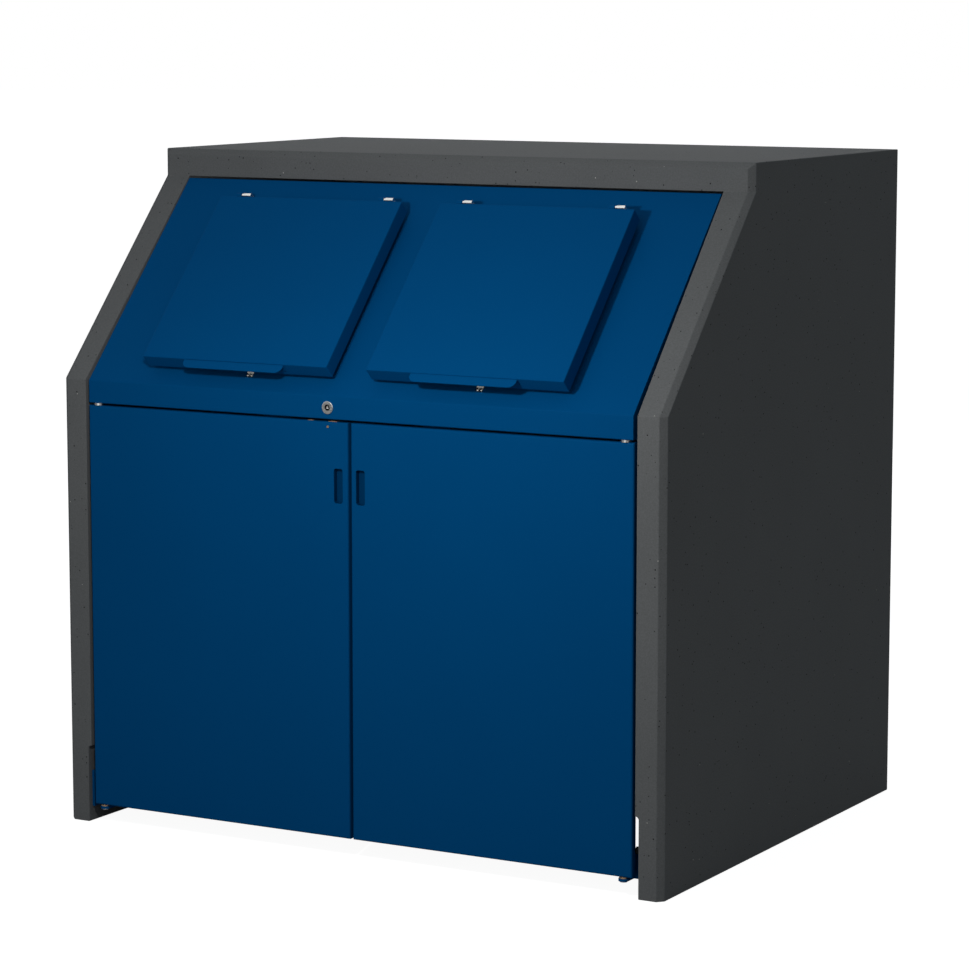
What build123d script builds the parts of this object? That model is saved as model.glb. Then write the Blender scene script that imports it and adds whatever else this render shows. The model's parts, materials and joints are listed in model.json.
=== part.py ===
"""Book drop box: a precast concrete housing with a sheet-steel front.

The front is one folded panel with two hinged inlet lids, above two doors that turn on corner pivots.
Units are millimetres. X runs to the right, Y to the back and Z up. The origin lies on the floor, in
the middle of the bounding box.
"""
import os
from math import atan2, cos, hypot, sin

from build123d import *

# ---------------------------------------------------------------- driving dimensions
# Concrete housing, cast in one piece and open at the front and the floor
width = 1350.0
shell_depth = 1064.0
height = 1350.0
front_height = 904.0  # floor to the bend between the upright and the slanted front
slope_run = 365.0  # how far the slanted front leans back
top_band = 56.0  # roof thickness, seen as a band above the slanted panel
wall_foot = 57.0  # side and back walls, from the floor to the bend
wall_draft = 6.0  # extra thickness at the roof, so that the core draws out downwards
front_chamfer = 12.0
core_radius = 20.0
notch_depth = 7.5  # pockets at the foot of both side walls, for the lower pivots
notch_bevel = 4.0
notch_height = 157.0
notch_run = 150.0

# Folded front panel
sheet = 2.5
front_recess = 1.0  # how far the steel sits behind the concrete
panel_side_gap = 2.5
panel_top_gap = 3.0
panel_return = 20.0
fascia_height = 45.8
fascia_return = 14.0
panel_bend = 4.5  # outer radius of the bend between the fascia and the slanted panel
fold_radius = 2.5  # outer radius of the folds around the panel

# Inlets under the lids
inlet_sheet = 2.0
inlet_side_room = 11.5  # from the collar to the lid flanges
inlet_end_room = 20.0  # from the collar to the lower lid flange
inlet_rear_room = 22.5  # from the collar to the back lid flange
collar_height = 36.0
collar_skirt = 12.0
collar_flange = 10.0
seal_width = 5.0
seal_height = 8.0
seal_gap = 0.4
chute_run = 290.0
chute_drop = 200.0

# Lids
lid_width = 427.0
lid_length = 414.0
lid_spacing = 515.0  # between the two lid centres
lid_start = 33.5  # from the bend up the slope to the lower edge
lid_height = 46.0  # from the panel to the top of the lid
lid_flange = 30.0
lid_sheet = 2.0
lid_bend = 1.6
lip_width = 230.0
lip_length = 19.0
lip_radius = 15.0
lip_tab = 16.0
rib_width = 60.0
rib_height = 14.0
rib_sheet = 1.5
rib_end_room = 20.0
rest_offset = 16.0  # from the middle of the lid to the rest in front of the inlet
rest_width = 16.0
rest_leg = 13.0
rest_sheet = 2.0

# Lift-off lid hinges
hinge_barrel = 9.0
hinge_pin = 5.0
hinge_collar = 6.5  # shoulder on the pin that spaces the two halves
hinge_collar_length = 4.3
hinge_offset = 7.5  # from the back flange of the lid to the axis
hinge_axis_height = 39.5
hinge_fixed_length = 17.2
hinge_moving_length = 12.0
hinge_left_inset = 33.0  # from the left edge of the lid to its left hinge
hinge_right_inset = 24.5  # from the right edge of the lid to its right hinge
hinge_leaf = 2.5
hinge_foot_depth = 12.0
hinge_screw_inset = 4.5
running_gap = 0.05  # radial clearance of every turning fit
side_play = 0.5

# Doors
door_bottom = 38.2
door_top_gap = 4.8
door_side_gap = 6.5  # from the door to the wall
centre_gap = 6.8
door_thickness = 16.0
door_sheet = 2.0
door_bend = 4.0  # outer radius of the folds
door_lip = 12.0
stiffener_width = 60.0
stiffener_sheet = 1.5
stiffener_places = (0.36, 0.68)  # shares of the door width, from the closing edge
grip_width = 20.0
grip_height = 67.6
grip_radius = 5.0
grip_level = 730.0
grip_edge = 11.5  # from the closing edge of the door to the grip slot
grip_depth = door_thickness - 2 * door_sheet - 1.0
cup_sheet = 1.5

# Door pivots
pivot_inset = 20.5  # from the hinged edge of the door to its axis
pivot_pin = door_thickness / 2
pivot_bush = door_thickness - 2 * fold_radius
pivot_washer = 19.5
pivot_plate_length = 36.0
pivot_plate_thickness = 5.0
door_bush_height = 24.0
pin_reach = 18.0  # of the lower pin, above the bottom of the door
pin_head = 14.0
pin_head_height = 2.0
bush_rise = 10.0
arm_thickness = 5.0
arm_drop = 3.0  # from the bottom of the door to the top of the lower arm
bracket_height = 74.0
bracket_run = 54.0
web_height = 50.0
bracket_setback = 12.0  # from the front of the wall to the plate of the lower bracket
bolt_head = 13.0
bolt_head_height = 9.0
bolt_inset = 9.0  # from either end of the plate to its bolts

# Lock in the fascia
lock_offset = -47.7  # from the middle of the box
lock_level = 23.5  # below the bend
rosette = 25.0
rosette_height = 2.5
rosette_bevel = 0.8
lock_barrel = 20.0
lock_core = 14.0
key_side = 8.0
key_height = 4.0
key_recess = 4.0  # depth of the bore in front of the core
lock_nut_width = 27.0
lock_nut_height = 5.0
cam_length = 46.0
cam_width = 14.0
cam_thickness = 3.0
cam_drive = 7.0
cam_gap = 2.0  # from the back of the closed door to the cam
strike_sheet = 1.2
strike_plate_x = (-96.0, -28.0)
strike_tabs = ((-95.0, -83.0), (-49.0, -29.0))
strike_rivets_x = (-89.0, -62.0)
strike_rivet_level = 9.5  # below the top of the door
rivet_head = 5.0
rivet_shank = 3.0

# Fixings inside
jamb_leg = 24.0
jamb_setback = 33.0
jamb_return = 38.0
jamb_start = 160.0
jamb_bolt_inset = 60.0
angle_end_room = 40.0
angle_bolt_inset = 100.0
angle_leg = 30.0
angle_thickness = 4.0
anchor_depth = 32.0
anchor_leg = 60.0
anchor_width = 80.0
anchor_thickness = 5.0
anchor_bolt_level = 36.0
anchor_places = (0.4, 0.75)  # shares of the depth of the housing
magnet = (40.0, 10.0, 14.0)
magnet_offset = 180.0  # from the middle of the box
magnet_gap = 0.4
catch_width = 60.0
catch_sheet = 2.0
catch_drop = 20.0

# ---------------------------------------------------------------- derived places
slope_rise = height - top_band - front_height
slope_length = hypot(slope_run, slope_rise)
tilt = atan2(slope_rise, slope_run)
lip_top = lid_height - lid_sheet
front_reach = lip_top * sin(tilt) - (lid_start - lip_length) * cos(tilt) - front_recess
front_y = (front_reach - shell_depth) / 2
back_y = front_y + shell_depth
roof_under = height - top_band


def wall_at(level):
    """Thickness of the walls at a level above the floor: even up to the bend, then drafted."""
    return wall_foot + wall_draft * max(0.0, level - front_height) / (roof_under - front_height)


face_y = front_y + front_recess
front_half = width / 2 - wall_at(roof_under) - panel_side_gap
door_half = width / 2 - wall_foot - door_side_gap
bend_rise = front_recess * (1 - sin(tilt)) / cos(tilt)
bend_z = front_height + bend_rise * sin(tilt) - front_recess * cos(tilt)
panel_end = slope_length - bend_rise - panel_top_gap
fascia_bottom = front_height - fascia_height
slope_frame = Plane(origin=(0, face_y, bend_z), x_dir=(1, 0, 0), z_dir=(0, -sin(tilt), cos(tilt))).location

lid_end = lid_start + lid_length
lid_under = lid_height - lid_sheet
hinge_s = lid_end + hinge_offset
collar_half = lid_width / 2 - lid_sheet - inlet_side_room
collar_start = lid_start + inlet_end_room
collar_end = lid_end - inlet_rear_room

door_top = fascia_bottom - door_top_gap
door_inner = centre_gap / 2
door_back = face_y + door_thickness
pivot_x = door_half - pivot_inset
pivot_y = face_y + door_thickness / 2
arm_top = door_bottom - arm_drop
notch_x = width / 2 - wall_foot + notch_depth
jamb_y = front_y + jamb_setback
lock_z = front_height - lock_level
cam_y = door_back + cam_gap
anchor_rows = [front_y + share * shell_depth for share in anchor_places]

SIDES = {"left": -1, "right": 1}


# ---------------------------------------------------------------- shared shapes
def block(x, y, z):
    """Box between two values on each axis."""
    centre = Pos((x[0] + x[1]) / 2, (y[0] + y[1]) / 2, (z[0] + z[1]) / 2)
    return centre * Box(abs(x[1] - x[0]), abs(y[1] - y[0]), abs(z[1] - z[0]))


def rod_x(diameter, x, y, z):
    """Cylinder along X."""
    return Pos((x[0] + x[1]) / 2, y, z) * Rot(0, 90, 0) * Cylinder(diameter / 2, abs(x[1] - x[0]))


def rod_y(diameter, x, y, z):
    """Cylinder along Y."""
    return Pos(x, (y[0] + y[1]) / 2, z) * Rot(90, 0, 0) * Cylinder(diameter / 2, abs(y[1] - y[0]))


def rod_z(diameter, x, y, z):
    """Cylinder along Z."""
    return Pos(x, y, (z[0] + z[1]) / 2) * Cylinder(diameter / 2, abs(z[1] - z[0]))


def hexagon_y(across, x, y, z):
    """Hexagonal prism along Y."""
    prism = extrude(RegularPolygon(across / 2, 6, major_radius=False), abs(y[1] - y[0]))
    return Pos(x, y[1], z) * Rot(90, 0, 0) * prism


def hexagon_x(across, x, y, z):
    """Hexagonal prism along X."""
    prism = extrude(RegularPolygon(across / 2, 6, major_radius=False), abs(x[1] - x[0]))
    return Pos(min(x), y, z) * Rot(0, 90, 0) * prism


def side_profile(points, x):
    """Polygon of (y, z) points, extruded between two values of x."""
    face = make_face(Polyline(*points, close=True))
    return Pos(min(x), 0, 0) * extrude(Plane.YZ * face, abs(x[1] - x[0]))


def on_slope(shape):
    """Place a shape drawn in panel coordinates: across, up the slope, out of the panel."""
    return slope_frame * shape


def slope_point(s, h):
    """World y and z of a point up the slope and out of the panel."""
    return face_y + s * cos(tilt) - h * sin(tilt), bend_z + s * sin(tilt) + h * cos(tilt)


def span(side, a, b):
    """A stretch of x on one side of the box, from its distances to the middle."""
    return tuple(sorted((side * a, side * b)))


def lid_centre(side):
    """Middle of one lid."""
    return side * lid_spacing / 2


# ---------------------------------------------------------------- concrete housing
def concrete_shell():
    """Side walls, back wall and roof in one casting."""
    outline = [
        (front_y, 0),
        (front_y, front_height),
        (front_y + slope_run, roof_under),
        (front_y + slope_run, height),
        (back_y, height),
        (back_y, 0),
    ]
    shell = side_profile(outline, (-width / 2, width / 2))
    front_edges = [edge for edge in shell.edges() if is_front_edge(edge)]
    shell = chamfer(front_edges, front_chamfer)
    for side in SIDES.values():
        shell -= notch(side)
    return shell - core()


def is_front_edge(edge):
    """True for the outer edges of the front faces of the walls and for the front edge of the roof."""
    middle = edge.center()
    on_side = abs(abs(middle.X) - width / 2) < 0.1
    in_front = middle.Y < front_y + slope_run + 0.1 and middle.Z > 0.1
    along_roof = abs(middle.X) < 0.1 and abs(middle.Z - height) < 0.1
    return in_front and (on_side or along_roof)


def core():
    """Hollow of the housing, wider at the floor than at the roof."""
    sections = []
    for level in (-1.0, front_height, roof_under):
        half = width / 2 - wall_at(level)
        rear = back_y - wall_at(level)
        face = Pos(0, (front_y - 50 + rear) / 2, level) * Rectangle(2 * half, rear - front_y + 50)
        sections.append(face)
    hollow = loft(sections, ruled=True)
    rear_edges = [edge for edge in hollow.edges() if is_rear_corner(edge)]
    return fillet(rear_edges, core_radius)


def is_rear_corner(edge):
    """True for the upright corners at the back of the hollow."""
    middle = edge.center()
    return middle.Y > 0 and 0.25 * height < middle.Z < 0.9 * height and abs(middle.X) > width / 4


def notch(side):
    """Bevelled pocket at the foot of a side wall."""
    inner = width / 2 - wall_foot - wall_draft
    pocket = block(span(side, inner, notch_x), (front_y - 20, front_y + notch_run), (-1, notch_height))
    bevelled = [edge for edge in pocket.edges() if is_notch_edge(edge, side)]
    return chamfer(bevelled, notch_bevel)


def is_notch_edge(edge, side):
    """True for the deep edges at the top and the back of a pocket."""
    middle = edge.center()
    deep = abs(middle.X - side * notch_x) < 0.1
    return deep and (middle.Z > notch_height - 0.1 or middle.Y > front_y + notch_run - 0.1)


# ---------------------------------------------------------------- folded front panel
def front_strip(depth, x):
    """The fascia and the slanted panel as one bent strip of a given depth."""
    inner_bend = depth * (1 - sin(tilt)) / cos(tilt)
    points = [
        (face_y, fascia_bottom),
        (face_y, bend_z),
        slope_point(panel_end, 0),
        slope_point(panel_end, -depth),
        slope_point(inner_bend, -depth),
        (face_y + depth, fascia_bottom),
    ]
    strip = side_profile(points, x)
    strip = fillet(edges_through(strip, face_y, bend_z), panel_bend)
    if depth < panel_bend:
        strip = fillet(edges_through(strip, *slope_point(inner_bend, -depth)), panel_bend - depth)
    return strip


def edges_through(shape, y, z):
    """Edges along X that lie at a place in y and z."""
    return [edge for edge in shape.edges() if hypot(edge.center().Y - y, edge.center().Z - z) < 0.01]


def front_panel():
    """Slanted panel and fascia, with folded returns, inlet openings and the lock and pivot holes."""
    panel = front_strip(sheet, (-front_half, front_half))
    for side in SIDES.values():
        panel += front_strip(panel_return, span(side, front_half - sheet, front_half))
    top_fold = block((-front_half, front_half), (panel_end - sheet, panel_end), (-panel_return, 0))
    panel += on_slope(top_fold)
    return_y = (face_y, face_y + fascia_return)
    panel += block((-front_half, front_half), return_y, (fascia_bottom, fascia_bottom + sheet))
    rim = edges_through(panel, face_y, fascia_bottom) + edges_through(panel, *slope_point(panel_end, 0))
    panel = fillet(rim, fold_radius)
    for side in SIDES.values():
        panel -= on_slope(inlet_block(side, 0, (-sheet - 1, 1)))
        panel -= rod_z(pivot_bush, side * pivot_x, pivot_y, (fascia_bottom - 1, fascia_bottom + sheet + 1))
    return panel - rod_y(lock_barrel, lock_offset, (face_y - 1, face_y + sheet + 1), lock_z)


def inlet_block(side, inset, h):
    """Block of the collar's outer size, less an inset, in panel coordinates."""
    middle = lid_centre(side)
    across = (middle - collar_half + inset, middle + collar_half - inset)
    return block(across, (collar_start + inset, collar_end - inset), h)


def panel_angles():
    """Steel angles that carry the panel along both side walls."""
    angles = []
    ends = (angle_end_room, panel_end - angle_end_room)
    outer = front_half - sheet
    for side in SIDES.values():
        foot = block(span(side, outer - angle_leg, outer), ends, (-sheet - angle_thickness, -sheet))
        upright_x = span(side, outer - angle_thickness, outer)
        upright = block(upright_x, ends, (-panel_return - angle_leg, -sheet))
        angles.append(on_slope(foot + upright))
    return angles


def panel_bolts():
    """Bolts from the side angles into the walls."""
    bolts = []
    for side in SIDES.values():
        for s in (angle_bolt_inset, panel_end / 2, panel_end - angle_bolt_inset):
            y, z = slope_point(s, -panel_return - angle_leg / 2)
            inner = front_half - sheet - angle_thickness
            shank = rod_x(8, span(side, inner, front_half + anchor_depth), y, z)
            head = hexagon_x(13, span(side, inner - 5.5, inner), y, z)
            bolts.append(shank + head)
    return bolts


# ---------------------------------------------------------------- inlets
def inlet_collar(side):
    """Raised rim that stands through the panel under a lid."""
    collar = inlet_block(side, 0, (-collar_skirt, collar_height))
    collar += inlet_block(side, -collar_flange, (0, inlet_sheet))
    collar -= inlet_block(side, inlet_sheet, (-collar_skirt - 1, collar_height + 1))
    return on_slope(collar)


def collar_seal(side):
    """Rubber edging on top of the rim."""
    top = lid_under - seal_gap
    overhang = (seal_width - inlet_sheet) / 2
    seal = inlet_block(side, -overhang, (top - seal_height, top))
    seal -= inlet_block(side, inlet_sheet + overhang, (0, lid_height))
    rim = inlet_block(side, 0, (0, collar_height))
    rim -= inlet_block(side, inlet_sheet, (-1, collar_height + 1))
    return on_slope(seal - rim)


def chute(side):
    """Slide with two cheeks, from the lower edge of the inlet towards the back."""
    half = collar_half - inlet_sheet
    middle = lid_centre(side)
    inner_s = collar_start + inlet_sheet
    start = slope_point(inner_s, -sheet)
    turn = slope_point(inner_s, -collar_skirt)
    upper = slope_point(collar_end - inlet_sheet, -sheet)
    upper_turn = slope_point(collar_end - inlet_sheet, -collar_skirt)
    foot = (turn[0] + chute_run, turn[1] - chute_drop)
    slide_start = slope_point(inner_s + inlet_sheet, -sheet)
    slide_turn = slope_point(inner_s + inlet_sheet, -collar_skirt)
    rise = inlet_sheet * hypot(chute_run, chute_drop) / chute_run
    slide = [start, turn, foot, (foot[0], foot[1] + rise), slide_turn, slide_start]
    cheek = [start, upper, upper_turn, (foot[0], upper_turn[1]), foot, turn]
    plate = side_profile(slide, (middle - half, middle + half))
    for turn in (-1, 1):
        outer = middle + turn * half
        plate += side_profile(cheek, (outer - turn * inlet_sheet, outer))
    return plate


# ---------------------------------------------------------------- lids
def lid_pan(side):
    """Shallow pan with four folded flanges."""
    middle = lid_centre(side)
    half = lid_width / 2
    top = lid_height
    pan = block((middle - half, middle + half), (lid_start, lid_end), (top - lid_flange, top))
    outside = [edge for edge in pan.edges() if edge.center().Z > top - lid_flange + 0.1]
    pan = fillet(outside, lid_bend)
    inner = half - lid_sheet
    hollow_s = (lid_start + lid_sheet, lid_end - lid_sheet)
    pan -= block((middle - inner, middle + inner), hollow_s, (top - lid_flange - 1, lid_under))
    return on_slope(pan)


def lid_grip(side):
    """Folded lip along the lower edge of a lid, with rounded corners."""
    middle = lid_centre(side)
    across = (middle - lip_width / 2, middle + lip_width / 2)
    lip = block(across, (lid_start - lip_length, lid_start), (lip_top - lid_sheet, lip_top))
    outer_corners = [edge for edge in lip.edges() if is_lip_corner(edge)]
    lip = fillet(outer_corners, lip_radius)
    lip += block(across, (lid_start - lid_sheet, lid_start), (lip_top - lip_tab, lip_top))
    return on_slope(lip)


def is_lip_corner(edge):
    """True for the two upright edges at the free side of the lip."""
    size = edge.bounding_box().size
    upright = size.Z > lid_sheet / 2 and size.X < 0.01
    return upright and edge.center().Y < lid_start - lip_length + 0.1


def lid_rib(side):
    """Folded channel that stiffens the lid from below."""
    middle = lid_centre(side)
    half = rib_width / 2
    low = lid_under - rib_height
    inner = collar_half - inlet_sheet - rib_end_room
    across = (middle - inner, middle + inner)
    centre_s = (collar_start + collar_end) / 2
    rib = block(across, (centre_s - half, centre_s + half), (low, lid_under))
    hollow_s = (centre_s - half + rib_sheet, centre_s + half - rib_sheet)
    rib -= block(across, hollow_s, (low + rib_sheet, lid_under + 1))
    return on_slope(rib)


def hinge_starts(side):
    """Left end of each hinge of a lid."""
    length = hinge_moving_length + side_play + hinge_collar_length + hinge_fixed_length
    left = lid_centre(side) - lid_width / 2
    right = lid_centre(side) + lid_width / 2
    return left + hinge_left_inset, right - hinge_right_inset - length


def lid_hinge_leaves(side):
    """Moving halves, welded to the back flange of the lid."""
    leaves = []
    for start in hinge_starts(side):
        across = (start, start + hinge_moving_length)
        low = lid_height - lid_flange + 2
        leaf = block(across, (lid_end, hinge_s - hinge_barrel / 2 + hinge_leaf), (low, hinge_axis_height))
        leaf += rod_x(hinge_barrel, across, hinge_s, hinge_axis_height)
        leaf -= rod_x(hinge_pin + 2 * running_gap, (across[0] - 1, across[1] + 1), hinge_s, hinge_axis_height)
        leaves.append(on_slope(leaf))
    return leaves


def fixed_stretch(start):
    """Stretch of x that the fixed half of a hinge takes."""
    begin = start + hinge_moving_length + side_play + hinge_collar_length
    return begin, begin + hinge_fixed_length


def lid_hinge_brackets(side):
    """Fixed halves: a foot on the panel, an upright and a barrel."""
    brackets = []
    for start in hinge_starts(side):
        across = fixed_stretch(start)
        rear = hinge_s + hinge_barrel / 2
        bracket = block(across, (rear - hinge_leaf, rear), (0, hinge_axis_height))
        bracket += block(across, (rear - hinge_leaf, rear - hinge_leaf + hinge_foot_depth), (0, hinge_leaf))
        bracket += rod_x(hinge_barrel, across, hinge_s, hinge_axis_height)
        bracket -= rod_x(hinge_pin, (across[0] - 1, across[1] + 1), hinge_s, hinge_axis_height)
        brackets.append(on_slope(bracket))
    return brackets


def lid_hinge_pins(side):
    """Shouldered pins that are pressed into the fixed halves."""
    pins = []
    for start in hinge_starts(side):
        begin, end = fixed_stretch(start)
        pin = rod_x(hinge_pin, (start - 1, end), hinge_s, hinge_axis_height)
        pin += rod_x(hinge_collar, (begin - hinge_collar_length, begin), hinge_s, hinge_axis_height)
        pins.append(on_slope(pin))
    return pins


def lid_hinge_screws():
    """Pan-head screws through the hinge feet."""
    screws = []
    for side in SIDES.values():
        for start in hinge_starts(side):
            across = fixed_stretch(start)
            s = hinge_s + hinge_barrel / 2 - hinge_leaf + hinge_foot_depth - hinge_screw_inset
            for x in (across[0] + hinge_screw_inset, across[1] - hinge_screw_inset):
                screws.append(on_slope(panel_screw(x, s, hinge_leaf, 4.0, 7.0)))
    return screws


def panel_screw(x, s, grip, thread, head):
    """Pan-head screw into the panel, through a part of a given thickness, in panel coordinates."""
    tail = sheet + 4
    head_height = head / 3
    shank = Pos(x, s, (grip - tail) / 2) * Cylinder(thread / 2, grip + tail)
    return shank + Pos(x, s, grip + head_height / 2) * Cylinder(head / 2, head_height)


def lid_rest(side):
    """Small angle in front of the rim, on which the closed lid is centred."""
    middle = lid_centre(side) + rest_offset
    across = (middle - rest_width / 2, middle + rest_width / 2)
    front = collar_start - collar_flange
    rest = block(across, (front - rest_leg, front), (0, rest_sheet))
    rest += block(across, (front - rest_sheet, front), (0, rest_leg))
    return on_slope(rest)


def lid_rest_screws():
    """Screws that hold the rests on the panel."""
    screws = []
    for side in SIDES.values():
        for offset in (-rest_width / 4, rest_width / 4):
            x = lid_centre(side) + rest_offset + offset
            s = collar_start - collar_flange - rest_leg / 2 - rest_sheet / 2
            screws.append(on_slope(panel_screw(x, s, rest_sheet, 3.0, 5.0)))
    return screws


# ---------------------------------------------------------------- doors
def door_panel(side):
    """Folded door pan with a grip slot."""
    across = span(side, door_inner, door_half)
    inside = span(side, door_inner + door_sheet, door_half - door_sheet)
    opening = span(side, door_inner + door_lip, door_half - door_lip)
    door = block(across, (face_y, door_back), (door_bottom, door_top))
    door = fillet(front_edges(door), door_bend)
    cavity_y = (face_y + door_sheet, door_back - door_sheet)
    cavity = block(inside, cavity_y, (door_bottom + door_sheet, door_top - door_sheet))
    door -= fillet(front_edges(cavity), door_bend - door_sheet)
    levels = (door_bottom + door_lip, door_top - door_lip)
    door -= block(opening, (door_back - door_sheet - 1, door_back + 1), levels)
    door -= grip_slot(side, 0, (face_y - 1, face_y + door_sheet + 1))
    axis = (side * pivot_x, pivot_y)
    door -= rod_z(pivot_pin, *axis, (door_top - door_sheet - 1, door_top + 1))
    return door - rod_z(pivot_bush, *axis, (door_bottom - 1, door_bottom + door_bend))


def front_edges(box):
    """The four edges around the front face of a box."""
    front = box.bounding_box().min.Y
    return [edge for edge in box.edges() if edge.center().Y < front + 0.1]


def grip_slot(side, grow, y):
    """Rounded block of the grip slot."""
    near = door_inner + grip_edge
    slot = block(
        span(side, near - grow, near + grip_width + grow),
        y,
        (grip_level - grip_height / 2 - grow, grip_level + grip_height / 2 + grow),
    )
    corners = [edge for edge in slot.edges() if edge.bounding_box().size.Y > abs(y[1] - y[0]) / 2]
    return fillet(corners, grip_radius + grow)


def grip_cup(side):
    """Pressed cup behind the grip slot."""
    inner_y = face_y + door_sheet
    cup = grip_slot(side, cup_sheet, (inner_y, inner_y + grip_depth))
    return cup - grip_slot(side, 0, (inner_y - 1, inner_y + grip_depth - cup_sheet))


def door_stiffeners(side):
    """Two folded channels inside a door."""
    channels = []
    low = door_bottom + door_bend
    high = door_top - door_bend
    front = face_y + door_sheet
    rear = door_back - door_sheet
    half = stiffener_width / 2
    for share in stiffener_places:
        middle = door_inner + share * (door_half - door_inner)
        channel = block(span(side, middle - half, middle + half), (front, rear), (low, high))
        inner = span(side, middle - half + stiffener_sheet, middle + half - stiffener_sheet)
        channels.append(channel - block(inner, (front - 1, rear - stiffener_sheet), (low - 1, high + 1)))
    return channels


def door_pivot(side):
    """Upper pivot pin with the plate that carries it inside the door."""
    axis = (side * pivot_x, pivot_y)
    outer = door_half - door_sheet
    top = door_top - door_sheet
    plate_y = (face_y + door_bend, door_back - door_sheet)
    pivot = block(span(side, outer - pivot_plate_length, outer), plate_y, (top - pivot_plate_thickness, top))
    return pivot + rod_z(pivot_pin, *axis, (top - pivot_plate_thickness - 3, fascia_bottom + bush_rise + 2))


def door_bush(side):
    """Bearing bush in the bottom of a door."""
    axis = (side * pivot_x, pivot_y)
    thickness = door_thickness - 2 * door_sheet
    bush = rod_z(pivot_bush, *axis, (door_bottom, door_bottom + door_bend))
    bush += rod_z(thickness, *axis, (door_bottom + door_bend, door_bottom + door_bush_height))
    return bush - rod_z(pivot_pin + 2 * running_gap, *axis, (door_bottom - 1, door_bottom + pin_reach + 2))


def strike_plate():
    """Strike behind the top edge of the left door, with two tabs folded over it."""
    back = (door_back, door_back + strike_sheet)
    plate = block(strike_plate_x, back, (door_top - door_lip, door_top))
    for tab in strike_tabs:
        plate += block(tab, (face_y + door_bend, back[1]), (door_top, door_top + strike_sheet))
    return plate


def strike_rivets():
    """Rivets of the strike plate, seen on the face of the door."""
    rivets = []
    through = (door_back - door_sheet, door_back + strike_sheet)
    for x in strike_rivets_x:
        rivets.append(rod_y(rivet_shank, x, through, door_top - door_lip / 2))
    level = door_top - strike_rivet_level
    head = rod_y(rivet_head, lock_offset, (face_y - 0.8, face_y), level)
    rivets.append(head + rod_y(rivet_shank, lock_offset, (face_y, face_y + door_sheet), level))
    return rivets


# ---------------------------------------------------------------- fixed pivots and jambs
def upper_bush(side):
    """Flanged bush in the fascia return."""
    axis = (side * pivot_x, pivot_y)
    bush = rod_z(pivot_washer, *axis, (door_top + 0.4, fascia_bottom))
    bush += rod_z(pivot_bush, *axis, (fascia_bottom, fascia_bottom + bush_rise))
    return bush - rod_z(pivot_pin + 2 * running_gap, *axis, (door_top - 1, fascia_bottom + bush_rise + 1))


def lower_bracket(side):
    """Arm, web and wall plate that carry the lower pivot, in the pocket of the side wall."""
    arm_z = (arm_top - arm_thickness, arm_top)
    front = front_y + bracket_setback
    rear = front + bracket_run
    wall_plate_x = span(side, notch_x - arm_thickness, notch_x)
    bracket = block(wall_plate_x, (front, rear), (arm_z[0], arm_z[0] + bracket_height))
    half = pivot_washer / 2
    bracket += block(span(side, pivot_x - half, pivot_x + half), (pivot_y, rear), arm_z)
    bracket += rod_z(pivot_washer, side * pivot_x, pivot_y, arm_z)
    web_y = (jamb_y, jamb_y + arm_thickness)
    bracket += block(span(side, pivot_x, notch_x), (web_y[0], rear), arm_z)
    bracket += block(span(side, pivot_x - half, notch_x), web_y, (arm_z[0], arm_z[0] + web_height))
    return bracket - rod_z(pivot_pin, side * pivot_x, pivot_y, (arm_z[0] - 1, arm_z[1] + 1))


def lower_pins():
    """Headed pins that stand up from the lower arms."""
    pins = []
    for side in SIDES.values():
        axis = (side * pivot_x, pivot_y)
        base = arm_top - arm_thickness
        pin = rod_z(pivot_pin, *axis, (base, door_bottom + pin_reach))
        pins.append(pin + rod_z(pin_head, *axis, (base - pin_head_height, base)))
    return pins


def lower_washers():
    """Brass washers under the doors."""
    washers = []
    for side in SIDES.values():
        axis = (side * pivot_x, pivot_y)
        washer = rod_z(pivot_washer - 3, *axis, (arm_top, door_bottom - 0.4))
        washers.append(washer - rod_z(pivot_pin, *axis, (arm_top - 1, door_bottom)))
    return washers


def bracket_bolts():
    """Black anchor bolts of the lower brackets."""
    bolts = []
    front = front_y + bracket_setback
    for side in SIDES.values():
        inner = notch_x - arm_thickness
        for y in (front + bolt_inset, front + bracket_run - bolt_inset):
            level = arm_top - arm_thickness + web_height + 8
            shank = rod_x(8, span(side, inner, notch_x + anchor_depth), y, level)
            head = hexagon_x(bolt_head, span(side, inner - bolt_head_height, inner), y, level)
            bolts.append(shank + head)
    return bolts


def jamb(side):
    """Angle behind the hinged edge of a door, which closes the gap to the wall."""
    outer = width / 2 - wall_foot
    levels = (jamb_start, fascia_bottom)
    angle = block(span(side, outer - jamb_leg, outer), (jamb_y, jamb_y + sheet), levels)
    return angle + block(span(side, outer - sheet, outer), (jamb_y, jamb_y + jamb_return), levels)


def jamb_bolts():
    """Bolts from the jambs into the walls."""
    bolts = []
    lowest = jamb_start + jamb_bolt_inset
    highest = fascia_bottom - jamb_bolt_inset
    for side in SIDES.values():
        for level in (lowest, (lowest + highest) / 2, highest):
            y = jamb_y + jamb_leg
            inner = width / 2 - wall_foot - sheet
            shank = rod_x(6, span(side, inner, inner + anchor_depth), y, level)
            head = hexagon_x(10, span(side, inner - 4, inner), y, level)
            bolts.append(shank + head)
    return bolts


def catch_brackets():
    """Folded brackets behind the fascia that carry the magnets and stop the doors."""
    brackets = []
    for side in SIDES.values():
        across = span(side, magnet_offset - catch_width / 2, magnet_offset + catch_width / 2)
        rear = door_back + magnet_gap + magnet[1]
        low = fascia_bottom + sheet
        bracket = block(across, (face_y + sheet, rear + catch_sheet), (low, low + catch_sheet))
        upright = block(across, (rear, rear + catch_sheet), (door_top - catch_drop, low + catch_sheet))
        brackets.append(bracket + upright)
    return brackets


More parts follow.
